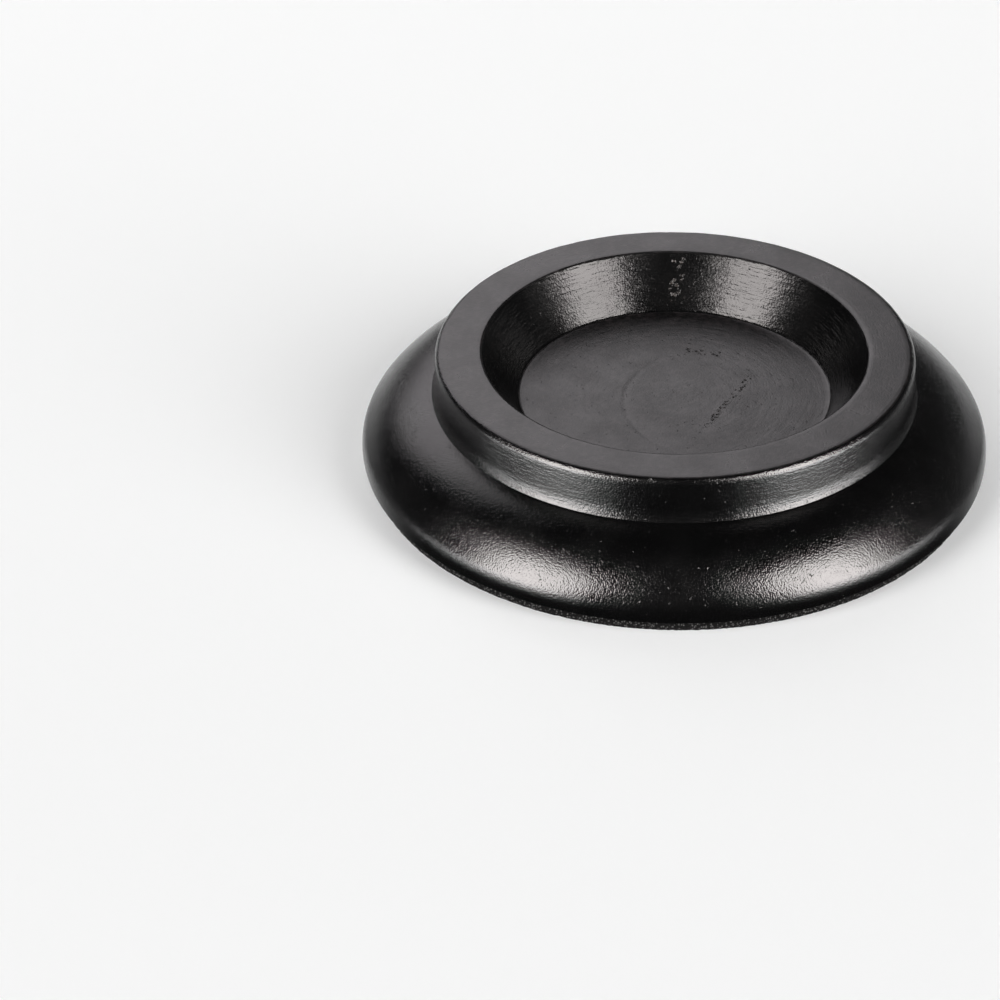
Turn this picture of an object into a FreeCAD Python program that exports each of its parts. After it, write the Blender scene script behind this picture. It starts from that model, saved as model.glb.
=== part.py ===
import FreeCAD, Part
import math
import os

# Castor cup: a turned wooden cup that a furniture wheel stands in, with a foam pad glued flat under it.
# Millimetres and degrees, +Z up. The origin is on the cup's axis, at the underside of the pad, where the cup stands.

# Recess that the wheel stands in
mouth_radius = 30.0
mouth_round = 0.3
recess_depth = 8.1
recess_taper = 5.6  # how much the radius narrows from the mouth down to the recess floor

# Collar round the recess: a flat rim, a rounded edge, a side that leans out a little and flares at its foot
rim_width = 6.2
rim_round = 1.0
collar_height = 7.05
collar_lean = 2.0
flare_radius = 5.0
flare_lean = 26.0

# Bulge below the collar: a broad shoulder arc running into a tighter nose, widest at the equator
bulge_radius = 49.0
shoulder_drop = 8.95
shoulder_radius = 16.0
nose_radius = 4.6
nose_drop = 1.4  # how far the nose runs on below the equator, down to the flat underside

# Foam pad, cut a little smaller than the flat underside that it is glued to
pad_thickness = 2.0
pad_inset = 1.0

# Heights from the ground up
underside_height = pad_thickness
equator_height = underside_height + nose_drop
foot_height = equator_height + shoulder_drop
rim_height = foot_height + collar_height
floor_height = rim_height - recess_depth

# Radii from the axis outwards
floor_radius = mouth_radius - recess_taper
rim_radius = mouth_radius + rim_width
underside_radius = bulge_radius - nose_radius + math.sqrt(nose_radius**2 - nose_drop**2)
pad_radius = underside_radius - pad_inset

AXIS = FreeCAD.Vector(0, 0, 1)


def at(radius, height):
    """Point of the profile plane at a radius from the axis and a height above the ground."""
    return FreeCAD.Vector(radius, 0, height)


def on_circle(centre, radius, angle):
    """Point of a circle in the profile plane, at an angle above the outward direction."""
    return centre + at(radius * math.cos(angle), radius * math.sin(angle))


def arc(centre, radius, start, end):
    """Arc of the profile from one angle to another."""
    middle = (start + end) / 2
    points = [on_circle(centre, radius, angle) for angle in (start, middle, end)]
    return Part.Arc(*points).toShape()


def collar_edges():
    """Edges of the collar from the rim's flat down to its foot, and the foot itself.

    The rounded edge of the rim runs into the leaning side, and the flare at the foot is hollow, so its centre
    lies outside the collar.
    """
    lean = math.radians(collar_lean)
    foot_lean = math.radians(flare_lean)
    rim_centre = at(rim_radius, rim_height - rim_round)
    side_top = on_circle(rim_centre, rim_round, lean)
    side_foot_height = foot_height + flare_radius * (math.sin(foot_lean) - math.sin(lean))
    side_drop = side_top.z - side_foot_height
    side_foot = at(side_top.x + side_drop * math.tan(lean), side_foot_height)
    flare_centre = on_circle(side_foot, flare_radius, lean)
    foot = on_circle(flare_centre, flare_radius, math.pi + foot_lean)
    edges = [
        arc(rim_centre, rim_round, math.pi / 2, lean),
        Part.makeLine(side_top, side_foot),
        arc(flare_centre, flare_radius, math.pi + lean, math.pi + foot_lean),
    ]
    return edges, foot


def bulge_edges(foot):
    """Edges of the bulge from the foot of the collar down to the flat underside.

    The shoulder passes through the foot of the collar and touches the nose from inside, so its centre lies
    shoulder_radius from the foot and the difference of the two radii from the nose's centre.
    """
    nose_centre = at(bulge_radius - nose_radius, equator_height)

    reach = foot - nose_centre
    offset = shoulder_radius - nose_radius
    cosine = (offset**2 + reach.Length**2 - shoulder_radius**2) / (2 * offset * reach.Length)
    bearing = math.atan2(reach.z, reach.x) + math.acos(cosine)
    shoulder_centre = on_circle(nose_centre, offset, bearing)
    tangent_angle = bearing - math.pi
    rise = foot - shoulder_centre
    foot_angle = math.atan2(rise.z, rise.x)

    return [
        arc(shoulder_centre, shoulder_radius, foot_angle, tangent_angle),
        arc(nose_centre, nose_radius, tangent_angle, -math.asin(nose_drop / nose_radius)),
    ]


def recess_edges():
    """Edges of the recess from the middle of its floor up the tapered wall and round the mouth to the rim's flat."""
    floor = at(floor_radius, floor_height)
    wall = math.atan2(recess_depth, recess_taper)
    setback = mouth_round * math.tan(wall / 2)
    round_centre = at(mouth_radius + setback, rim_height - mouth_round)
    wall_top = on_circle(round_centre, mouth_round, wall + math.pi / 2)
    return [
        Part.makeLine(at(0, floor_height), floor),
        Part.makeLine(floor, wall_top),
        arc(round_centre, mouth_round, wall + math.pi / 2, math.pi / 2),
        Part.makeLine(at(round_centre.x, rim_height), at(rim_radius, rim_height)),
    ]


def make_cup_body():
    """Turned wooden body: half profile from the recess round to the underside, turned about the axis."""
    underside_centre = at(0, underside_height)
    collar, foot = collar_edges()
    base = [
        Part.makeLine(at(underside_radius, underside_height), underside_centre),
        Part.makeLine(underside_centre, at(0, floor_height)),
    ]
    profile = Part.Wire(recess_edges() + collar + bulge_edges(foot) + base)
    return Part.Face(profile).revolve(FreeCAD.Vector(), AXIS, 360)


def make_foam_pad():
    """Foam disc between the ground and the flat underside of the body."""
    return Part.makeCylinder(pad_radius, pad_thickness)


os.makedirs("parts", exist_ok=True)
make_cup_body().exportStep("parts/cup_body.step")
make_foam_pad().exportStep("parts/foam_pad.step")
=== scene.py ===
"""Castor cup: a turned wooden cup in satin black paint, on a pad of black foam.

Metres, +Z up. The origin is on the cup's axis, where the pad stands on the floor.
"""

from __future__ import annotations

import logging
import math
from dataclasses import dataclass, field, replace
from enum import IntEnum

import bmesh
import bpy
from mathutils import Matrix, Vector, noise

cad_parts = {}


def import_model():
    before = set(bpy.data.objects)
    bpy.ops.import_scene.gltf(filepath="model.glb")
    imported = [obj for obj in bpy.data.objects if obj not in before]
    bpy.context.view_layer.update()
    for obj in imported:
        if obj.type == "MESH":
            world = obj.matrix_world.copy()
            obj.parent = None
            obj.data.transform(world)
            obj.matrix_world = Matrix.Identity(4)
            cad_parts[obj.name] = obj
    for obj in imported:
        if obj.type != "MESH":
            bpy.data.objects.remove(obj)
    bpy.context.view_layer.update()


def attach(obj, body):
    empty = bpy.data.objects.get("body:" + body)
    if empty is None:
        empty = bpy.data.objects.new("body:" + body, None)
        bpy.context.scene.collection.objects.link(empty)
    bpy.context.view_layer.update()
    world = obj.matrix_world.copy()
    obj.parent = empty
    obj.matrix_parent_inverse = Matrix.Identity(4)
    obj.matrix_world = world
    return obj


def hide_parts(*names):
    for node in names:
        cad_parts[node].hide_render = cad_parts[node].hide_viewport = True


MM = 0.001
MERGE_DISTANCE = 0.002 * MM
STAGE_RADIUS = 2.5
STAGE_SEGMENTS = 96
LOG = logging.getLogger("castor_cup")


class Zone(IntEnum):
    """Turned faces of the cup, each with its own finish; the value is its material slot."""

    OUTSIDE = 0
    RIM = 1
    RECESS_WALL = 2
    RECESS_FLOOR = 3
    COLLAR = 4


class Graph:
    """Adds the nodes of one shader tree and joins them."""

    def __init__(self, tree: bpy.types.NodeTree) -> None:
        """Keeps the tree that the nodes go into."""
        self.tree = tree

    def feed(self, socket: bpy.types.NodeSocket, value: object) -> None:
        """Links an output to an input socket, or sets the input to a plain value."""
        if isinstance(value, bpy.types.NodeSocket):
            self.tree.links.new(value, socket)
        else:
            socket.default_value = value

    def add(self, kind: str, inputs: dict[str, object] | None = None, **options: object) -> bpy.types.Node:
        """Adds a node.

        Args:
            kind: Blender's name for the type of node.
            inputs: an output socket or a plain value for each input by name.
            options: the node's own settings.

        Returns:
            The new node.
        """
        node = self.tree.nodes.new(kind)
        for option, value in options.items():
            setattr(node, option, value)
        for name, value in (inputs or {}).items():
            self.feed(node.inputs[name], value)
        return node

    def math(self, operation: str, *terms: object, clamp: bool = False) -> bpy.types.NodeSocket:
        """Adds a Math node.

        Args:
            operation: the sum to do, by Blender's name.
            terms: output sockets or numbers, in order.
            clamp: whether the result is held between 0 and 1.

        Returns:
            The result's socket.
        """
        node = self.add("ShaderNodeMath", operation=operation, use_clamp=clamp)
        for socket, term in zip(node.inputs, terms):
            self.feed(socket, term)
        return node.outputs[0]

    def vector(self, operation: str, *terms: object) -> bpy.types.Node:
        """Adds a Vector Math node.

        Args:
            operation: the sum to do, by Blender's name.
            terms: output sockets or vectors, in order.

        Returns:
            The new node.
        """
        node = self.add("ShaderNodeVectorMath", operation=operation)
        for socket, term in zip(node.inputs, terms):
            self.feed(socket, term)
        return node

    def ramp(
        self, value: object, low: object, high: object, start: object = 0.0, end: object = 1.0
    ) -> bpy.types.NodeSocket:
        """Adds a smooth step from one value to another.

        Args:
            value: what is read.
            low: where the step begins.
            high: where the step ends.
            start: the result up to low.
            end: the result from high on.

        Returns:
            The result's socket.
        """
        node = self.add("ShaderNodeMapRange", interpolation_type="SMOOTHSTEP")
        for socket, term in zip(node.inputs, (value, low, high, start, end)):
            self.feed(socket, term)
        return node.outputs[0]

    def blend(self, factor: object, low: object, high: object) -> bpy.types.NodeSocket:
        """Mixes two colours, each a socket or three numbers.

        Args:
            factor: the share of the second colour.
            low: the first colour.
            high: the second colour.

        Returns:
            The colour's socket.
        """
        node = self.add("ShaderNodeMix", data_type="RGBA")
        self.feed(node.inputs["Factor"], factor)
        # The colour sockets of a Mix node come after those for numbers and vectors
        for socket, colour in ((node.inputs[6], low), (node.inputs[7], high)):
            self.feed(socket, (*colour, 1.0) if isinstance(colour, tuple) else colour)
        return node.outputs[2]


class Effect:
    """A shader node group that several finishes share."""

    title = ""
    inputs: dict[str, float] = {}
    output = "Height"

    def __init__(self) -> None:
        """Builds the group once, with a Vector input in front of its own ones."""
        self.tree = bpy.data.node_groups.new(self.title, "ShaderNodeTree")
        self.tree.interface.new_socket("Vector", in_out="INPUT", socket_type="NodeSocketVector")
        for name, value in self.inputs.items():
            socket = self.tree.interface.new_socket(name, in_out="INPUT", socket_type="NodeSocketFloat")
            socket.default_value = value
        self.tree.interface.new_socket(self.output, in_out="OUTPUT", socket_type="NodeSocketFloat")
        graph = Graph(self.tree)
        given = graph.add("NodeGroupInput").outputs
        graph.add("NodeGroupOutput", {self.output: self.wire(graph, given)})

    def wire(self, graph: Graph, given: bpy.types.NodeOutputs) -> bpy.types.NodeSocket:
        """Joins the group's nodes.

        Args:
            graph: the group's tree.
            given: the group's inputs.

        Returns:
            The socket that the group puts out.
        """
        raise NotImplementedError

    def place(self, graph: Graph, vector: bpy.types.NodeSocket, **values: object) -> bpy.types.NodeSocket:
        """Places the group in a material.

        Args:
            graph: the material's tree.
            vector: the coordinates that the group reads.
            values: its other inputs by name.

        Returns:
            The group's output socket.
        """
        node = graph.add("ShaderNodeGroup", node_tree=self.tree)
        for name, value in {"Vector": vector, **values}.items():
            graph.feed(node.inputs[name], value)
        return node.outputs[self.output]


class OrangePeel(Effect):
    """Fine pebbling of sprayed paint, with a crease round each pebble and a finer grain over it."""

    title = "Orange peel"
    inputs = {"Size": 0.4 * MM}
    pebble_share: float = 0.35
    grain_share: float = 0.65
    grain_fineness: float = 1.6

    def wire(self, graph: Graph, given: bpy.types.NodeOutputs) -> bpy.types.NodeSocket:
        """Adds rounded pebbles and an uneven grain.

        Args:
            graph: the group's tree.
            given: the group's inputs.

        Returns:
            The height of the grain, from 0 to 1.
        """
        scale = graph.math("DIVIDE", 1.0, given["Size"])
        pebbles = graph.add("ShaderNodeTexVoronoi", {"Vector": given["Vector"], "Scale": scale})
        away = pebbles.outputs["Distance"]
        crown = graph.math("SUBTRACT", 1.0, graph.math("MULTIPLY", away, away), clamp=True)
        finer = graph.math("MULTIPLY", scale, self.grain_fineness)
        grain = graph.add("ShaderNodeTexNoise", {"Vector": given["Vector"], "Scale": finer, "Detail": 0.0})
        uneven = graph.math("MULTIPLY", grain.outputs[0], self.grain_share)
        return graph.math("MULTIPLY_ADD", crown, self.pebble_share, uneven)


class TurningLines(Effect):
    """Fine rings that a turning tool leaves, running round the axis."""

    title = "Turning lines"
    inputs = {"Spacing": 0.3 * MM, "Across Radius": 1.0, "Across Height": 0.0, "Drift": 2.0}

    def wire(self, graph: Graph, given: bpy.types.NodeOutputs) -> bpy.types.NodeSocket:
        """Stretches a grain round the axis, with no seam.

        Args:
            graph: the group's tree.
            given: the group's inputs.

        Returns:
            The height of the lines, from 0 to 1.
        """
        place = graph.add("ShaderNodeSeparateXYZ", {"Vector": given["Vector"]})
        level = {axis: place.outputs[axis] for axis in "XY"}
        flat = graph.add("ShaderNodeCombineXYZ", level).outputs[0]
        radius = graph.vector("LENGTH", flat).outputs["Value"]
        heading = graph.vector("NORMALIZE", flat).outputs["Vector"]
        round_axis = graph.add("ShaderNodeVectorMath", {"Scale": given["Drift"]}, operation="SCALE")
        graph.feed(round_axis.inputs[0], heading)
        by_height = graph.math("MULTIPLY", place.outputs["Z"], given["Across Height"])
        across = graph.math("MULTIPLY_ADD", radius, given["Across Radius"], by_height)
        steps = graph.math("DIVIDE", across, given["Spacing"])
        stacked = graph.add("ShaderNodeCombineXYZ", {"Z": steps}).outputs[0]
        position = graph.vector("ADD", round_axis.outputs["Vector"], stacked).outputs["Vector"]
        grain = {"Vector": position, "Scale": 1.0, "Detail": 2.0, "Roughness": 0.6}
        return graph.add("ShaderNodeTexNoise", grain).outputs[0]


class Specks(Effect):
    """Scattered uneven spots, such as open pores under the paint or grains of dust."""

    title = "Specks"
    inputs = {"Spacing": 1.0 * MM, "Share": 0.5, "Radius": 0.25}
    output = "Mask"
    sway_fineness: float = 2.2
    sway_reach: float = 0.9

    def wire(self, graph: Graph, given: bpy.types.NodeOutputs) -> bpy.types.NodeSocket:
        """Keeps a share of scattered cells and marks the middle of each.

        Args:
            graph: the group's tree.
            given: the group's inputs.

        Returns:
            A mask that is 1 in the middle of a speck.
        """
        scale = graph.math("DIVIDE", 1.0, given["Spacing"])
        finer = graph.math("MULTIPLY", scale, self.sway_fineness)
        grain = graph.add("ShaderNodeTexNoise", {"Vector": given["Vector"], "Scale": finer})
        sway = graph.vector("SUBTRACT", grain.outputs["Color"], (0.5, 0.5, 0.5)).outputs["Vector"]
        reach = graph.math("MULTIPLY", given["Spacing"], self.sway_reach)
        shift = graph.add("ShaderNodeVectorMath", {"Scale": reach}, operation="SCALE")
        graph.feed(shift.inputs[0], sway)
        ragged = graph.vector("ADD", given["Vector"], shift.outputs["Vector"]).outputs["Vector"]
        cells = graph.add("ShaderNodeTexVoronoi", {"Vector": ragged, "Scale": scale})
        lot = graph.add("ShaderNodeSeparateColor", {"Color": cells.outputs["Color"]}).outputs[0]
        kept = graph.math("LESS_THAN", lot, given["Share"])
        spot = graph.ramp(cells.outputs["Distance"], 0.0, given["Radius"], 1.0, 0.0)
        return graph.math("MULTIPLY", kept, spot)


class Clouds(Effect):
    """Uneven patches, such as a thin film of haze or a change of gloss."""

    title = "Clouds"
    inputs = {"Size": 1.0 * MM}
    output = "Value"

    def wire(self, graph: Graph, given: bpy.types.NodeOutputs) -> bpy.types.NodeSocket:
        """Adds a grain with finer and finer detail.

        Args:
            graph: the group's tree.
            given: the group's inputs.

        Returns:
            The strength of the patches, from 0 to 1.
        """
        scale = graph.math("DIVIDE", 1.0, given["Size"])
        grain = graph.add("ShaderNodeTexNoise", {"Vector": given["Vector"], "Scale": scale, "Detail": 4.0})
        return grain.outputs[0]


class Patch(Effect):
    """A soft-edged oblong about the origin of its coordinates."""

    title = "Patch"
    inputs = {"Half Length": 5.0 * MM, "Half Width": 1.0 * MM}
    output = "Mask"
    fade_from: float = 0.55

    def wire(self, graph: Graph, given: bpy.types.NodeOutputs) -> bpy.types.NodeSocket:
        """Fades out along and across the oblong.

        Args:
            graph: the group's tree.
            given: the group's inputs.

        Returns:
            A mask that is 1 inside the oblong.
        """
        place = graph.add("ShaderNodeSeparateXYZ", {"Vector": given["Vector"]})
        fades = []
        for axis, half in (("X", "Half Length"), ("Y", "Half Width"), ("Z", "Half Width")):
            reach = graph.math("DIVIDE", graph.math("ABSOLUTE", place.outputs[axis]), given[half])
            fades.append(graph.ramp(reach, self.fade_from, 1.0, 1.0, 0.0))
        return graph.math("MULTIPLY", graph.math("MULTIPLY", fades[0], fades[1]), fades[2])


@dataclass
class EffectKit:
    """The shared node groups, each built once."""

    peel: OrangePeel = field(default_factory=OrangePeel)
    lines: TurningLines = field(default_factory=TurningLines)
    specks: Specks = field(default_factory=Specks)
    clouds: Clouds = field(default_factory=Clouds)
    patch: Patch = field(default_factory=Patch)


@dataclass(frozen=True)
class Scar:
    """A spot where knotty or open grain shows through the paint.

    The patch runs along its own X, after a turn about Z and a rise out of the flat.
    """

    centre: tuple[float, float, float]
    turn: float
    rise: float
    half_length: float
    half_width: float
    pore: float
    share: float
    depth: float
    bare: float
    pore_radius: float = 0.55

    def mask(self, graph: Graph, kit: EffectKit, place: bpy.types.NodeSocket) -> bpy.types.NodeSocket:
        """Scatters the pores of the patch.

        Args:
            graph: the material's tree.
            kit: the shared node groups.
            place: the Object coordinates.

        Returns:
            A mask that is 1 in the middle of a pore.
        """
        local = graph.add(
            "ShaderNodeMapping",
            {"Vector": place, "Location": self.centre, "Rotation": (0.0, -self.rise, self.turn)},
            vector_type="TEXTURE",
        ).outputs[0]
        halves = {"Half Length": self.half_length, "Half Width": self.half_width}
        area = kit.patch.place(graph, local, **halves)
        pores = kit.specks.place(graph, local, Spacing=self.pore, Share=self.share, Radius=self.pore_radius)
        return graph.math("MULTIPLY", area, pores)


@dataclass(frozen=True)
class Groove:
    """A shallow curved mark that the turning tool left, which fades out along X."""

    centre: tuple[float, float, float]
    radius: float
    half_width: float
    depth: float
    fade: tuple[float, float]

    def height(self, graph: Graph, place: bpy.types.NodeSocket) -> bpy.types.NodeSocket:
        """Works out how deep the mark is.

        Args:
            graph: the material's tree.
            place: the Object coordinates.

        Returns:
            The height in metres, below zero in the mark.
        """
        away = graph.vector("DISTANCE", place, self.centre).outputs["Value"]
        off_line = graph.math("ABSOLUTE", graph.math("SUBTRACT", away, self.radius))
        line = graph.ramp(off_line, 0.0, self.half_width, -self.depth, 0.0)
        across = graph.add("ShaderNodeSeparateXYZ", {"Vector": place}).outputs["X"]
        return graph.math("MULTIPLY", line, graph.ramp(across, *self.fade, 1.0, 0.0))


@dataclass(frozen=True)
class SatinPaint:
    """Satin black paint over turned wood, as it lies on one of the turned faces.

    Sizes, spacings and depths are lengths. The share of pits or dust is that of the pattern's cells that hold
    one, and their radius is a part of a cell.
    """

    name: str
    roughness: float
    peel_size: float
    peel_depth: float
    line_spacing: float
    line_depth: float
    line_drift: float
    across_radius: float
    across_height: float
    pit_depth: float
    dust: float
    haze: float
    scars: tuple[Scar, ...] = ()
    grooves: tuple[Groove, ...] = ()
    ior: float = 1.58
    colour: tuple[float, float, float] = (0.0016, 0.0016, 0.0017)
    bare_colour: tuple[float, float, float] = (0.13, 0.10, 0.085)
    haze_colour: tuple[float, float, float] = (0.022, 0.018, 0.0185)
    dust_colour: tuple[float, float, float] = (0.08, 0.0775, 0.075)
    pit_spacing: float = 1.1 * MM
    pit_share: float = 0.4
    pit_radius: float = 0.22
    dust_spacing: float = 1.2 * MM
    dust_radius: float = 0.07
    dust_roughness: float = 0.4
    mottle_size: float = 0.9 * MM
    mottle_span: tuple[float, float] = (0.40, 0.75)
    cloud_size: float = 6.0 * MM
    cloud_span: tuple[float, float] = (0.3, 0.7)
    gloss_swing: float = 0.03

    def relief(self, graph: Graph, kit: EffectKit, place: bpy.types.NodeSocket) -> bpy.types.NodeSocket:
        """Adds up the grain, the turning lines, the pits and the marks of the tool.

        Args:
            graph: the material's tree.
            kit: the shared node groups.
            place: the Object coordinates.

        Returns:
            The height in metres.
        """
        peel = kit.peel.place(graph, place, Size=self.peel_size)
        lines = kit.lines.place(
            graph,
            place,
            Spacing=self.line_spacing,
            Drift=self.line_drift,
            **{"Across Radius": self.across_radius, "Across Height": self.across_height},
        )
        pits = kit.specks.place(
            graph, place, Spacing=self.pit_spacing, Share=self.pit_share, Radius=self.pit_radius
        )
        height = graph.math("MULTIPLY", peel, self.peel_depth)
        height = graph.math("MULTIPLY_ADD", lines, self.line_depth, height)
        height = graph.math("MULTIPLY_ADD", pits, -self.pit_depth, height)
        for groove in self.grooves:
            height = graph.math("ADD", height, groove.height(graph, place))
        return height

    def material(self, kit: EffectKit) -> bpy.types.Material:
        """Makes the paint's material.

        Args:
            kit: the shared node groups.

        Returns:
            The material.
        """
        made, graph = new_material(self.name)
        place = graph.add("ShaderNodeTexCoord").outputs["Object"]
        height = self.relief(graph, kit, place)

        dust = kit.specks.place(
            graph, place, Spacing=self.dust_spacing, Share=self.dust, Radius=self.dust_radius
        )
        mottle = kit.clouds.place(graph, place, Size=self.mottle_size)
        haze = graph.ramp(mottle, *self.mottle_span, 0.0, self.haze)
        colour = graph.blend(dust, graph.blend(haze, self.colour, self.haze_colour), self.dust_colour)
        for scar in self.scars:
            pores = scar.mask(graph, kit, place)
            height = graph.math("MULTIPLY_ADD", pores, -scar.depth, height)
            colour = graph.blend(graph.math("MULTIPLY", pores, scar.bare), colour, self.bare_colour)
        cloud = kit.clouds.place(graph, place, Size=self.cloud_size)
        glossier = self.roughness - self.gloss_swing
        duller = self.roughness + self.gloss_swing
        rough = graph.ramp(cloud, *self.cloud_span, glossier, duller)
        rough = graph.math("MULTIPLY_ADD", dust, self.dust_roughness, rough, clamp=True)
        coat(graph, height, colour, rough, self.ior)
        return made


@dataclass(frozen=True)
class CutFoam:
    """Closed-cell black foam with its cells cut open at the edge."""

    name: str = "black_foam"
    cell: float = 0.3 * MM
    depth: float = 0.12 * MM
    grain_spacing: float = 0.33 * MM
    grain_share: float = 0.55
    grain_radius: float = 0.6
    roughness: float = 0.86
    ior: float = 1.25
    dark: tuple[float, float, float] = (0.002, 0.002, 0.002)
    pale: tuple[float, float, float] = (0.16, 0.156, 0.152)

    def material(self, kit: EffectKit) -> bpy.types.Material:
        """Makes the foam's material.

        Args:
            kit: the shared node groups.

        Returns:
            The material.
        """
        made, graph = new_material(self.name)
        place = graph.add("ShaderNodeTexCoord").outputs["Object"]
        cells = graph.add("ShaderNodeTexVoronoi", {"Vector": place, "Scale": 1.0 / self.cell})
        height = graph.math("MULTIPLY", cells.outputs["Distance"], self.depth)
        grains = kit.specks.place(
            graph, place, Spacing=self.grain_spacing, Share=self.grain_share, Radius=self.grain_radius
        )
        colour = graph.blend(grains, self.dark, self.pale)
        coat(graph, height, colour, self.roughness, self.ior)
        return made


def new_material(name: str) -> tuple[bpy.types.Material, Graph]:
    """Makes an empty node material.

    Args:
        name: the material's name.

    Returns:
        The material and the graph of its tree.
    """
    made = bpy.data.materials.new(name)
    made.use_nodes = True
    made.node_tree.nodes.clear()
    return made, Graph(made.node_tree)


def coat(graph: Graph, height: object, colour: object, rough: object, ior: float) -> None:
    """Joins a relief, a colour and a roughness into the surface of a material.

    Args:
        graph: the material's tree.
        height: the relief in metres.
        colour: the base colour.
        rough: the roughness.
        ior: the index of refraction.
    """
    bump = graph.add("ShaderNodeBump", {"Height": height, "Strength": 1.0, "Distance": 1.0})
    surface = {"Base Color": colour, "Roughness": rough, "Normal": bump.outputs[0], "IOR": ior}
    shader = graph.add("ShaderNodeBsdfPrincipled", surface)
    graph.add("ShaderNodeOutputMaterial", {"Surface": shader.outputs[0]})


def shown(mesh: bmesh.types.BMesh, name: str, materials: list[bpy.types.Material]) -> bpy.types.Object:
    """Turns a finished bmesh into an object at the origin.

    Args:
        mesh: the shape, which is freed.
        name: the object's name.
        materials: its material slots, in order.

    Returns:
        The object, shaded smooth.
    """
    data = bpy.data.meshes.new(name)
    for face in mesh.faces:
        face.smooth = True
    mesh.to_mesh(data)
    mesh.free()
    for material in materials:
        data.materials.append(material)
    made = bpy.data.objects.new(name, data)
    bpy.context.scene.collection.objects.link(made)
    return made


@dataclass
class HalfProfile:
    """A half profile that is drawn in the plane of X and Z and then turned about Z."""

    mesh: bmesh.types.BMesh = field(default_factory=bmesh.new)
    tip: bmesh.types.BMVert | None = None

    def start(self, radius: float, height: float) -> None:
        """Puts the first point down."""
        self.tip = self.mesh.verts.new((radius, 0.0, height))

    def line(self, radius: float, height: float) -> bmesh.types.BMVert:
        """Draws a straight run.

        Args:
            radius: the run's end, from the axis.
            height: the run's end, from the floor.

        Returns:
            The point at its end.
        """
        drawn = bmesh.ops.extrude_vert_indiv(self.mesh, verts=[self.tip])
        self.tip = drawn["verts"][0]
        self.tip.co = (radius, 0.0, height)
        return self.tip

    def arc(self, radius: float, height: float, sweep: float, steps: int) -> bmesh.types.BMVert:
        """Draws an arc from the last point.

        Args:
            radius: the arc's centre, from the axis.
            height: the arc's centre, from the floor.
            sweep: the angle to go round, upwards from the outward direction.
            steps: the number of its segments.

        Returns:
            The point at its end.
        """
        drawn = bmesh.ops.spin(
            self.mesh,
            geom=[self.tip],
            cent=(radius, 0.0, height),
            axis=(0.0, -1.0, 0.0),
            angle=sweep,
            steps=steps,
            use_duplicate=False,
        )
        self.tip = next(part for part in drawn["geom_last"] if isinstance(part, bmesh.types.BMVert))
        return self.tip

    def soften(self, corner: bmesh.types.BMVert, setback: float, segments: int) -> None:
        """Rounds a corner.

        Args:
            corner: the point to round.
            setback: how far before and after it the round begins and ends.
            segments: the number of the round's segments.
        """
        bmesh.ops.bevel(
            self.mesh,
            geom=[corner],
            offset=setback,
            offset_type="OFFSET",
            segments=segments,
            profile=0.5,
            affect="VERTICES",
            material=-1,
            clamp_overlap=False,
        )

    def divide(self, longest: float) -> None:
        """Cuts the long runs into equal parts.

        Args:
            longest: the length that no part exceeds.
        """
        for edge in list(self.mesh.edges):
            cuts = math.ceil(edge.calc_length() / longest) - 1
            if cuts > 0:
                bmesh.ops.subdivide_edges(self.mesh, edges=[edge], cuts=cuts)

    def turned(self, steps: int) -> bmesh.types.BMesh:
        """Turns the profile through an eighth, and copies that round the axis.

        Args:
            steps: the number of segments round the axis, a multiple of 8.

        Returns:
            The closed shape, with its faces outwards.
        """
        bmesh.ops.spin(
            self.mesh,
            geom=self.mesh.verts[:] + self.mesh.edges[:],
            cent=(0.0, 0.0, 0.0),
            axis=(0.0, 0.0, 1.0),
            angle=math.tau / 8,
            steps=steps // 8,
            use_duplicate=False,
        )
        for share in (8, 4, 2):
            everything = self.mesh.verts[:] + self.mesh.edges[:] + self.mesh.faces[:]
            copied = bmesh.ops.duplicate(self.mesh, geom=everything)["geom"]
            moved = [part for part in copied if isinstance(part, bmesh.types.BMVert)]
            turn = Matrix.Rotation(math.tau / share, 3, "Z")
            bmesh.ops.rotate(self.mesh, verts=moved, cent=(0.0, 0.0, 0.0), matrix=turn)
        bmesh.ops.remove_doubles(self.mesh, verts=self.mesh.verts[:], dist=MERGE_DISTANCE)
        bmesh.ops.recalc_face_normals(self.mesh, faces=self.mesh.faces[:])
        return self.mesh


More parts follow.
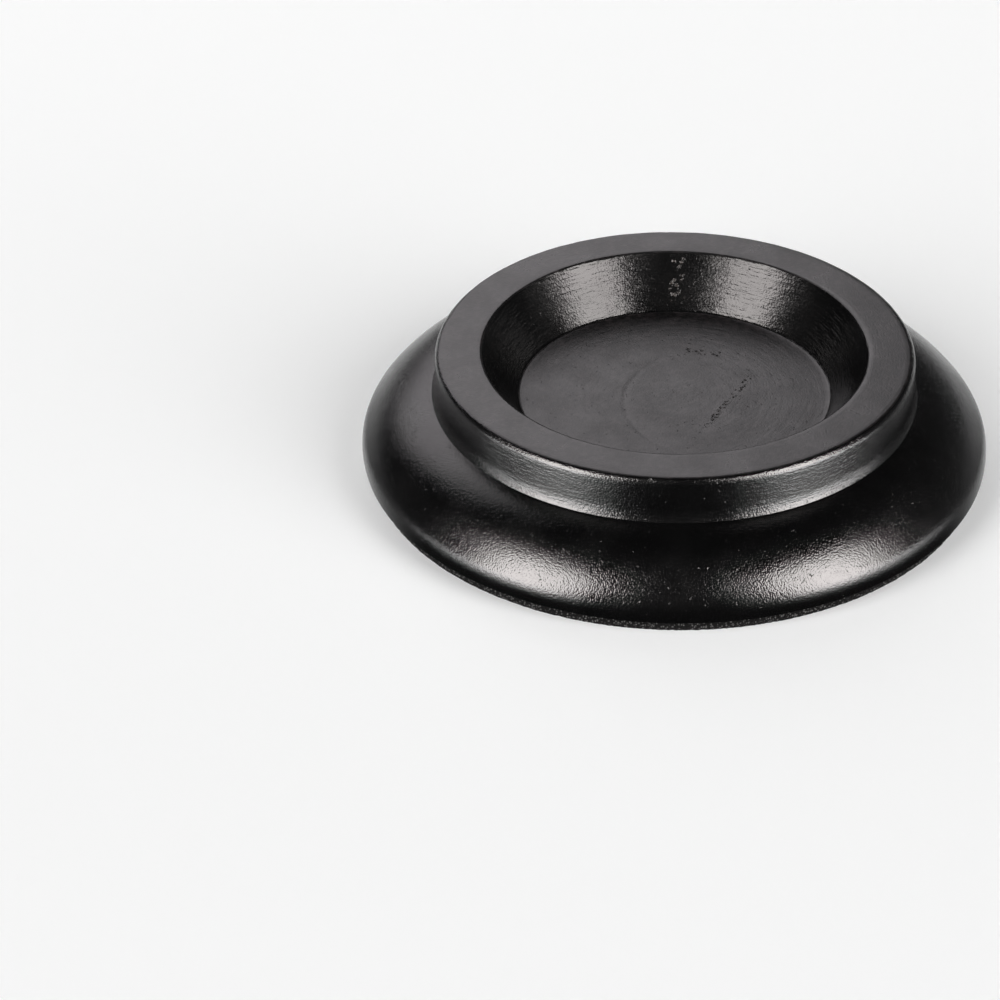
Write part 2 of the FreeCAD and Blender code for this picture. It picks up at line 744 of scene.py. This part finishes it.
@dataclass
class TurnedCup:
    """The wooden cup: recess, rim, flared collar and bulge, turned in one piece.

    The nick values shape the wear of the rim's edges, with its coarse and fine unevenness in waves a metre.
    The paint edge, as a share of the rim's round, and the two slacks say how far a face's paint reaches.
    """

    mouth_radius: float = 30.0 * MM
    floor_radius: float = 24.4 * MM
    rim_radius: float = 36.2 * MM
    bulge_radius: float = 49.0 * MM
    underside_height: float = 2.0 * MM
    equator_height: float = 3.4 * MM
    floor_height: float = 11.3 * MM
    foot_height: float = 12.35 * MM
    rim_height: float = 19.4 * MM
    rim_round: float = 1.0 * MM
    collar_lean: float = math.radians(2.0)
    flare_radius: float = 5.0 * MM
    flare_lean: float = math.radians(26.0)
    shoulder_radius: float = 16.0 * MM
    nose_radius: float = 4.6 * MM
    bottom_round: float = 0.2 * MM
    mouth_round: float = 0.3 * MM
    floor_cove: float = 0.4 * MM
    bulge_steps: int = 18
    collar_steps: int = 8
    bottom_steps: int = 3
    recess_steps: int = 4
    longest_run: float = 0.6 * MM
    segments: int = 400
    corner_tolerance: float = 0.01 * MM
    nick: float = 0.06 * MM
    nick_reach: float = 0.9 * MM
    nick_edge: float = 0.6
    nick_drop: float = 0.6
    nick_coarse: float = 420.0
    nick_fine: float = 1300.0
    nick_fine_share: float = 0.6
    paint_edge: float = 0.4
    floor_slack: float = 0.1 * MM
    mouth_slack: float = 0.05 * MM
    finishes: dict[Zone, SatinPaint] = field(default_factory=dict)

    def collar(self) -> tuple[Vector, Vector, Vector, Vector]:
        """Works out the collar's round edge, its leaning side and the hollow flare at its foot.

        Returns:
            The centre of the round edge, the top of the side, the centre of the flare and the foot.
        """
        side_way = Vector((math.cos(self.collar_lean), math.sin(self.collar_lean)))
        foot_way = Vector((math.cos(self.flare_lean), math.sin(self.flare_lean)))
        edge = Vector((self.rim_radius, self.rim_height - self.rim_round))
        top = edge + self.rim_round * side_way
        low = self.foot_height + self.flare_radius * (foot_way.y - side_way.y)
        side_foot = Vector((top.x + (top.y - low) * math.tan(self.collar_lean), low))
        flare = side_foot + self.flare_radius * side_way
        return edge, top, flare, flare - self.flare_radius * foot_way

    def profile(self) -> HalfProfile:
        """Draws the half profile from the middle of the underside round to the middle of the recess floor.

        Returns:
            The profile, with its corners rounded and its long runs cut.
        """
        edge, side_top, flare, foot = self.collar()
        nose = Vector((self.bulge_radius - self.nose_radius, self.equator_height))
        reach = foot - nose
        offset = self.shoulder_radius - self.nose_radius
        cosine = (offset**2 + reach.length_squared - self.shoulder_radius**2) / (2 * offset * reach.length)
        bearing = math.atan2(reach.y, reach.x) + math.acos(cosine)
        shoulder = nose + offset * Vector((math.cos(bearing), math.sin(bearing)))
        touch = bearing - math.pi
        rise = foot - shoulder
        foot_angle = math.atan2(rise.y, rise.x)

        drawn = HalfProfile()
        drawn.start(0.0, self.underside_height)
        bottom = -math.asin((self.equator_height - self.underside_height) / self.nose_radius)
        bottom_corner = drawn.line(nose.x + self.nose_radius * math.cos(bottom), self.underside_height)
        drawn.arc(*nose, touch - bottom, self.bulge_steps)
        drawn.arc(*shoulder, foot_angle - touch, self.bulge_steps)
        drawn.arc(*flare, self.collar_lean - self.flare_lean, self.collar_steps)
        drawn.line(*side_top)
        drawn.arc(*edge, math.pi / 2 - self.collar_lean, self.collar_steps)
        mouth_corner = drawn.line(self.mouth_radius, self.rim_height)
        floor_corner = drawn.line(self.floor_radius, self.floor_height)
        drawn.line(0.0, self.floor_height)
        drawn.soften(bottom_corner, self.bottom_round, self.bottom_steps)
        drawn.soften(mouth_corner, self.mouth_round, self.recess_steps)
        drawn.soften(floor_corner, self.floor_cove, self.recess_steps)
        drawn.divide(self.longest_run)
        return drawn

    def crease_foot(self, mesh: bmesh.types.BMesh) -> None:
        """Keeps the inner corner between the collar and the shoulder crisp.

        Args:
            mesh: the turned shape.
        """
        foot = self.collar()[3]
        for edge in mesh.edges:
            ends = [Vector((vert.co.xy.length, vert.co.z)) for vert in edge.verts]
            edge.smooth = any((end - foot).length > self.corner_tolerance for end in ends)

    def nick_edges(self, mesh: bmesh.types.BMesh) -> None:
        """Wears the two edges of the rim unevenly, always into the wood.

        Args:
            mesh: the turned shape.
        """
        worn = ((self.rim_radius + self.nick_edge * self.rim_round, -1.0), (self.mouth_radius, 1.0))
        for vert in mesh.verts:
            out = Vector((vert.co.x, vert.co.y, 0.0))
            for radius, push in worn:
                away = math.hypot(out.length - radius, vert.co.z - self.rim_height) / self.nick_reach
                if away < 1.0:
                    coarse = noise.noise(vert.co * self.nick_coarse)
                    fine = noise.noise(vert.co * self.nick_fine)
                    uneven = max(0.0, coarse + self.nick_fine_share * fine)
                    depth = self.nick * uneven * (1.0 - away)
                    vert.co += out.normalized() * (push * depth)
                    vert.co.z -= self.nick_drop * depth

    def zone(self, middle: Vector) -> Zone:
        """Tells which turned face a point is on.

        Args:
            middle: a point of the surface.

        Returns:
            The face's zone.
        """
        radius = math.hypot(middle.x, middle.y)
        past_rim = radius > self.rim_radius + self.paint_edge * self.rim_round
        if past_rim or middle.z < self.floor_height - self.floor_slack:
            return Zone.COLLAR if middle.z > self.foot_height else Zone.OUTSIDE
        if radius > self.mouth_radius - self.mouth_slack:
            return Zone.RIM
        if radius > self.floor_radius:
            return Zone.RECESS_WALL
        return Zone.RECESS_FLOOR

    def build(self, kit: EffectKit) -> bpy.types.Object:
        """Makes the cup and dresses it.

        Args:
            kit: the shared node groups.

        Returns:
            The cup, in place of its plain solid.
        """
        mesh = self.profile().turned(self.segments)
        for face in mesh.faces:
            face.material_index = self.zone(face.calc_center_median())
        self.crease_foot(mesh)
        self.nick_edges(mesh)
        cup = shown(mesh, "painted_cup", [self.finishes[zone].material(kit) for zone in Zone])
        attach(cup, "root")
        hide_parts("cup_body")
        return cup


@dataclass
class FoamDisc:
    """The pad under the cup: a disc cut from sheet foam, with a ragged, granular edge.

    What lies beyond edge_share of the radius is frayed, with its fine and coarse grain in waves a metre.
    """

    radius: float = 47.78 * MM
    thickness: float = TurnedCup.underside_height
    edge_round: float = 0.2 * MM
    edge_steps: int = 3
    side_cuts: int = 8
    flat_share: float = 0.8
    side_share: float = 0.999
    edge_share: float = 0.99
    ragged: float = 0.16 * MM
    ragged_fine: float = 2300.0
    ragged_coarse: float = 900.0
    ragged_coarse_share: float = 0.7
    ragged_level: float = 0.45
    ragged_swing: float = 0.6
    segments: int = 1400
    finish: CutFoam = field(default_factory=CutFoam)

    def profile(self) -> HalfProfile:
        """Draws the half profile from the middle of the floor face round to the middle of the glued face.

        Returns:
            The profile, with its corners rounded and its side cut into short runs.
        """
        flat = self.radius * self.flat_share
        drawn = HalfProfile()
        drawn.start(0.0, 0.0)
        drawn.line(flat, 0.0)
        cut_corners = [drawn.line(self.radius, 0.0), drawn.line(self.radius, self.thickness)]
        drawn.line(flat, self.thickness)
        drawn.line(0.0, self.thickness)
        for corner in cut_corners:
            drawn.soften(corner, self.edge_round, self.edge_steps)
        limit = self.radius * self.side_share
        side = [run for run in drawn.mesh.edges if min(vert.co.x for vert in run.verts) > limit]
        bmesh.ops.subdivide_edges(drawn.mesh, edges=side, cuts=self.side_cuts)
        return drawn

    def fray(self, mesh: bmesh.types.BMesh) -> None:
        """Roughens the cut edge, always inwards.

        Args:
            mesh: the turned shape.
        """
        for vert in mesh.verts:
            out = Vector((vert.co.x, vert.co.y, 0.0))
            if out.length > self.radius * self.edge_share:
                coarse = noise.noise(vert.co * self.ragged_coarse)
                grain = noise.noise(vert.co * self.ragged_fine) + self.ragged_coarse_share * coarse
                share = min(1.0, max(0.0, self.ragged_level + self.ragged_swing * grain))
                vert.co -= out.normalized() * self.ragged * share

    def build(self, kit: EffectKit) -> bpy.types.Object:
        """Makes the pad and dresses it.

        Args:
            kit: the shared node groups.

        Returns:
            The pad, in place of its plain solid.
        """
        mesh = self.profile().turned(self.segments)
        self.fray(mesh)
        pad = shown(mesh, "foam_disc", [self.finish.material(kit)])
        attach(pad, "root")
        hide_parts("foam_pad")
        return pad


@dataclass(frozen=True)
class SoftBox:
    """A soft lamp aimed at the middle of the cup: a plain light for colours and a brighter face for gloss."""

    name: str
    azimuth: float
    elevation: float
    distance: float
    width: float
    height: float
    light: float
    face: float
    face_gap: float = 0.05
    face_colour: tuple[float, float, float] = (1.0, 0.95, 0.93)

    def hang(self, name: str, radiance: float, gloss: bool) -> bpy.types.Object:
        """Hangs one of the two lamps.

        Args:
            name: the lamp's name.
            radiance: how bright it looks, where 1 is white.
            gloss: whether gloss sees it, and colours don't.

        Returns:
            The lamp, hidden from the camera.
        """
        lamp = bpy.data.lights.new(name, "AREA")
        lamp.shape = "RECTANGLE"
        lamp.size = self.width
        lamp.size_y = self.height
        lamp.energy = radiance * math.pi * self.width * self.height
        if gloss:
            lamp.color = self.face_colour
        made = bpy.data.objects.new(name, lamp)
        distance = self.distance - (self.face_gap if gloss else 0.0)
        across = distance * math.cos(self.elevation)
        made.location = (
            across * math.sin(self.azimuth),
            -across * math.cos(self.azimuth),
            distance * math.sin(self.elevation),
        )
        made.rotation_euler = Vector(made.location).to_track_quat("Z", "Y").to_euler()
        made.visible_camera = False
        made.visible_glossy = gloss
        made.visible_diffuse = not gloss
        bpy.context.scene.collection.objects.link(made)
        return made

    def build(self) -> None:
        """Hangs the light, and the face a little in front of it."""
        self.hang(self.name, self.light, gloss=False)
        self.hang(f"{self.name}_face", self.face, gloss=True)


@dataclass(frozen=True)
class CardStep:
    """A smooth step in the glow of the painted reflection cards, along the way from behind the cup, 0, to its
    front, 1.
    """

    low: float
    high: float
    start: float
    end: float

    def level(self, graph: Graph, front: bpy.types.NodeSocket) -> bpy.types.NodeSocket:
        """Adds the step.

        Args:
            graph: the cards' tree.
            front: how far round to the front a point lies.

        Returns:
            The brightness there.
        """
        return graph.ramp(front, self.low, self.high, self.start, self.end)


@dataclass(frozen=True)
class PaintedReflectionRing:
    """A ring of glowing cards on the floor that only the cup's gloss sees, a painted reflection: black in
    front, white to each side.

    The skirt is the narrow part next to the cup. Beyond it, the near cards run on into the far ones.
    """

    inner_radius: float = 49.2 * MM
    lift: float = 0.5 * MM
    light: float = 2.5
    skirt: CardStep = CardStep(0.5, 0.8, 0.32, 0.01)
    skirt_ends: tuple[float, float] = (56.0 * MM, 60.0 * MM)
    near: tuple[CardStep, CardStep] = (CardStep(0.72, 0.86, 0.0, 1.0), CardStep(0.895, 0.99, 0.7, 0.0))
    far: tuple[CardStep, CardStep] = (CardStep(0.58, 0.66, 0.0, 1.0), CardStep(0.90, 0.955, 3.6, 0.0))
    far_begins: tuple[float, float] = (70.0 * MM, 100.0 * MM)
    grey: tuple[CardStep, CardStep] = (CardStep(0.1, 0.45, 0.36, 0.08), CardStep(0.7, 0.95, 1.0, 0.1))

    def ring(self) -> bmesh.types.BMesh:
        """Cuts the ring.

        Returns:
            A flat ring, just over the floor.
        """
        mesh = bmesh.new()
        bmesh.ops.create_circle(mesh, cap_ends=True, segments=STAGE_SEGMENTS, radius=STAGE_RADIUS)
        bmesh.ops.inset_region(
            mesh,
            faces=mesh.faces[:],
            thickness=STAGE_RADIUS - self.inner_radius,
            use_boundary=True,
            use_even_offset=True,
        )
        hole = [face for face in mesh.faces if face.calc_center_median().length < self.inner_radius / 2]
        bmesh.ops.delete(mesh, geom=hole, context="FACES")
        bmesh.ops.translate(mesh, vec=(0.0, 0.0, self.lift), verts=mesh.verts[:])
        return mesh

    def brightness(self, graph: Graph) -> bpy.types.NodeSocket:
        """Grades the painted reflection round the cup and away from it.

        Args:
            graph: the cards' tree.

        Returns:
            How brightly each point glows.
        """
        place = graph.add("ShaderNodeTexCoord").outputs["Object"]
        heading = graph.vector("NORMALIZE", place).outputs["Vector"]
        to_back = graph.add("ShaderNodeSeparateXYZ", {"Vector": heading}).outputs["Y"]
        front = graph.math("MULTIPLY_ADD", to_back, -0.5, 0.5)
        radius = graph.vector("LENGTH", place).outputs["Value"]

        near, far, grey = (
            graph.math("MULTIPLY", *(step.level(graph, front) for step in steps))
            for steps in (self.near, self.far, self.grey)
        )
        reach = graph.ramp(radius, *self.far_begins)
        white = graph.math("MULTIPLY_ADD", graph.math("SUBTRACT", far, near), reach, near)
        card = graph.math("MAXIMUM", white, grey)
        skirt = self.skirt.level(graph, front)
        beyond = graph.ramp(radius, *self.skirt_ends)
        both = graph.math("MULTIPLY_ADD", graph.math("SUBTRACT", card, skirt), beyond, skirt)
        return graph.math("MULTIPLY", both, self.light)

    def build(self) -> bpy.types.Object:
        """Lays the ring, whose glow is a painted reflection in the cup's gloss.

        Returns:
            The ring, as part of the stage.
        """
        made, graph = new_material("painted_reflection_cards")
        # Painted reflection: the cards glow though they are no lamp, and only gloss sees them.
        glow = graph.add("ShaderNodeEmission", {"Strength": self.brightness(graph)})
        graph.add("ShaderNodeOutputMaterial", {"Surface": glow.outputs[0]})
        laid = shown(self.ring(), "painted_reflection_cards", [made])
        laid.visible_camera = False
        laid.visible_diffuse = False
        laid.visible_shadow = False
        return laid


@dataclass
class Studio:
    """A white sweep, two soft boxes in front, a pale panel behind and dark above.

    The camera alone sees the floor lifted, more so towards its back. The room darkens from the horizon up,
    and it is paler the way that pale_way points, behind the cup on the right.
    """

    floor_colour: float = 0.8
    floor_lift: tuple[float, float] = (0.18, 0.34)
    lift_span: tuple[float, float] = (-0.15, 0.3)
    horizon: float = 0.05
    zenith: float = 0.01
    dark_above: float = 0.6
    pale_way: tuple[float, float, float] = (0.7, 0.7, 0.0)
    pale_span: tuple[float, float] = (0.2, 0.8)
    pale_gain: float = 2.6
    backdrop: float = 0.93
    painted_reflection_cards: PaintedReflectionRing = field(default_factory=PaintedReflectionRing)
    lamps: tuple[SoftBox, ...] = ()

    def floor(self) -> bpy.types.Object:
        """Lays the floor.

        Returns:
            The floor, as part of the stage.
        """
        mesh = bmesh.new()
        bmesh.ops.create_circle(mesh, cap_ends=True, segments=STAGE_SEGMENTS, radius=STAGE_RADIUS)
        made, graph = new_material("white_sweep")
        grey = (self.floor_colour, self.floor_colour, self.floor_colour, 1.0)
        shader = graph.add("ShaderNodeBsdfDiffuse", {"Color": grey})
        seen = graph.add("ShaderNodeLightPath").outputs["Is Camera Ray"]
        place = graph.add("ShaderNodeTexCoord").outputs["Object"]
        to_back = graph.add("ShaderNodeSeparateXYZ", {"Vector": place}).outputs["Y"]
        lift = graph.math("MULTIPLY", seen, graph.ramp(to_back, *self.lift_span, *self.floor_lift))
        glow = graph.add("ShaderNodeEmission", {"Strength": lift})
        both = graph.add("ShaderNodeAddShader")
        graph.feed(both.inputs[0], shader.outputs[0])
        graph.feed(both.inputs[1], glow.outputs[0])
        graph.add("ShaderNodeOutputMaterial", {"Surface": both.outputs[0]})
        floor = shown(mesh, "floor", [made])
        return floor

    def world(self) -> None:
        """Sets the dim room round the stage, which is pale to the camera."""
        room = bpy.data.worlds.new("studio")
        room.use_nodes = True
        room.node_tree.nodes.clear()
        graph = Graph(room.node_tree)
        heading = graph.add("ShaderNodeTexCoord").outputs["Generated"]
        up = graph.add("ShaderNodeSeparateXYZ", {"Vector": heading}).outputs["Z"]
        behind = graph.vector("DOT_PRODUCT", heading, self.pale_way).outputs["Value"]
        gain = graph.ramp(behind, *self.pale_span, 1.0, self.pale_gain)
        dim = graph.math("MULTIPLY", graph.ramp(up, 0.0, self.dark_above, self.horizon, self.zenith), gain)
        seen = graph.add("ShaderNodeLightPath").outputs["Is Camera Ray"]
        pale = graph.math("MULTIPLY", seen, self.backdrop)
        level = graph.math("MAXIMUM", dim, pale)
        light = graph.add("ShaderNodeBackground", {"Strength": level})
        graph.add("ShaderNodeOutputWorld", {"Surface": light.outputs[0]})
        bpy.context.scene.world = room

    def build(self) -> None:
        """Sets up the whole studio."""
        self.floor()
        self.painted_reflection_cards.build()
        self.world()
        for lamp in self.lamps:
            lamp.build()
        bpy.context.scene.view_settings.view_transform = "Standard"


@dataclass
class PhotoCamera:
    """The camera, placed by where the middle of the rim falls in a square picture."""

    focal: float = 3.3
    elevation: float = math.radians(33.99)
    roll: float = math.radians(-0.94)
    distance: float = 0.5129
    target: tuple[float, float, float] = (0.0, 0.0, TurnedCup.rim_height)
    falls_at: tuple[float, float] = (0.17456, -0.15237)
    sensor: float = 36.0
    nearest: float = 0.01

    def build(self) -> bpy.types.Object:
        """Places the camera.

        Returns:
            The scene's camera.
        """
        forward = Vector((0.0, math.cos(self.elevation), -math.sin(self.elevation)))
        level = Vector((1.0, 0.0, 0.0))
        plumb = forward.cross(level)
        cosine, sine = math.cos(self.roll), math.sin(self.roll)
        right = cosine * level - sine * plumb
        down = sine * level + cosine * plumb
        across, below = self.falls_at
        ray = Vector((across / self.focal, below / self.focal, 1.0)).normalized() * self.distance
        place = Vector(self.target) - (right * ray.x + down * ray.y + forward * ray.z)
        lens = bpy.data.cameras.new("photo_camera")
        lens.sensor_width = self.sensor
        lens.lens = self.focal * self.sensor
        lens.clip_start = self.nearest
        made = bpy.data.objects.new("photo_camera", lens)
        turn = Matrix((right, -down, -forward)).transposed().to_4x4()
        made.matrix_world = Matrix.Translation(place) @ turn
        bpy.context.scene.collection.objects.link(made)
        bpy.context.scene.camera = made
        return made


PAINTS = {
    Zone.OUTSIDE: SatinPaint(
        name="satin_black_outside",
        roughness=0.20,
        peel_size=0.32 * MM,
        peel_depth=0.05 * MM,
        line_spacing=0.34 * MM,
        line_depth=0.012 * MM,
        line_drift=40.0,
        across_radius=0.7,
        across_height=0.7,
        pit_depth=0.032 * MM,
        dust=0.18,
        haze=0.0,
    ),
    Zone.COLLAR: SatinPaint(
        name="satin_black_collar",
        roughness=0.20,
        peel_size=0.32 * MM,
        peel_depth=0.055 * MM,
        line_spacing=0.3 * MM,
        line_depth=0.06 * MM,
        line_drift=14.0,
        across_radius=0.0,
        across_height=1.0,
        pit_depth=0.032 * MM,
        dust=0.1,
        haze=0.0,
    ),
    Zone.RIM: SatinPaint(
        name="satin_black_rim",
        roughness=0.30,
        peel_size=0.42 * MM,
        peel_depth=0.018 * MM,
        line_spacing=0.5 * MM,
        line_depth=0.008 * MM,
        line_drift=1.6,
        across_radius=1.0,
        across_height=0.0,
        pit_depth=0.0,
        dust=0.1,
        haze=0.7,
    ),
    Zone.RECESS_WALL: SatinPaint(
        name="satin_black_wall",
        roughness=0.22,
        peel_size=0.42 * MM,
        peel_depth=0.03 * MM,
        line_spacing=0.5 * MM,
        line_depth=0.11 * MM,
        line_drift=8.0,
        across_radius=0.57,
        across_height=0.82,
        pit_depth=0.03 * MM,
        dust=0.05,
        haze=0.02,
        ior=1.39,
        scars=(
            Scar(
                centre=(1.93 * MM, 27.58 * MM, 16.0 * MM),
                turn=math.radians(86),
                rise=math.radians(55.3),
                half_length=4.6 * MM,
                half_width=1.5 * MM,
                pore=0.75 * MM,
                share=0.7,
                depth=0.1 * MM,
                bare=0.3,
            ),
        ),
    ),
    Zone.RECESS_FLOOR: SatinPaint(
        name="satin_black_floor",
        roughness=0.34,
        peel_size=0.42 * MM,
        peel_depth=0.022 * MM,
        line_spacing=1.0 * MM,
        line_depth=0.035 * MM,
        line_drift=2.5,
        across_radius=1.0,
        across_height=0.0,
        pit_depth=0.03 * MM,
        dust=0.1,
        haze=0.8,
        scars=(
            Scar(
                centre=(8.45 * MM, -2.93 * MM, TurnedCup.floor_height),
                turn=math.radians(61.1),
                rise=0.0,
                half_length=10.0 * MM,
                half_width=0.6 * MM,
                pore=0.6 * MM,
                share=0.85,
                depth=0.11 * MM,
                bare=0.12,
            ),
            Scar(
                centre=(5.5 * MM, 11.7 * MM, TurnedCup.floor_height),
                turn=math.radians(-15),
                rise=0.0,
                half_length=3.8 * MM,
                half_width=0.9 * MM,
                pore=0.7 * MM,
                share=0.6,
                depth=0.11 * MM,
                bare=0.06,
            ),
        ),
        grooves=(
            Groove(
                centre=(9.0 * MM, -3.3 * MM, TurnedCup.floor_height),
                radius=16.85 * MM,
                half_width=0.8 * MM,
                depth=0.032 * MM,
                fade=(-4.0 * MM, 3.0 * MM),
            ),
        ),
    ),
}

LEFT_BOX = SoftBox(
    name="left_box",
    azimuth=math.radians(-54),
    elevation=math.radians(22.5),
    distance=1.6,
    width=0.92,
    height=1.54,
    light=6.4,
    face=14.5,
)
LAMPS = (
    LEFT_BOX,
    replace(LEFT_BOX, name="right_box", azimuth=-LEFT_BOX.azimuth),
    SoftBox(
        name="back_panel",
        azimuth=math.radians(197),
        elevation=math.radians(36),
        distance=1.6,
        width=1.3,
        height=1.0,
        light=1.65,
        face=1.65,
        face_colour=(1.0, 0.955, 0.985),
    ),
)


def main() -> None:
    """Builds the cup, its pad and the studio."""
    logging.basicConfig(level=logging.INFO, format="%(message)s")
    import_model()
    kit = EffectKit()
    for piece in (TurnedCup(finishes=PAINTS), FoamDisc()):
        made = piece.build(kit)
        LOG.info("%s: %d faces", made.name, len(made.data.polygons))
    Studio(lamps=LAMPS).build()
    PhotoCamera().build()


if __name__ == "__main__":
    main()
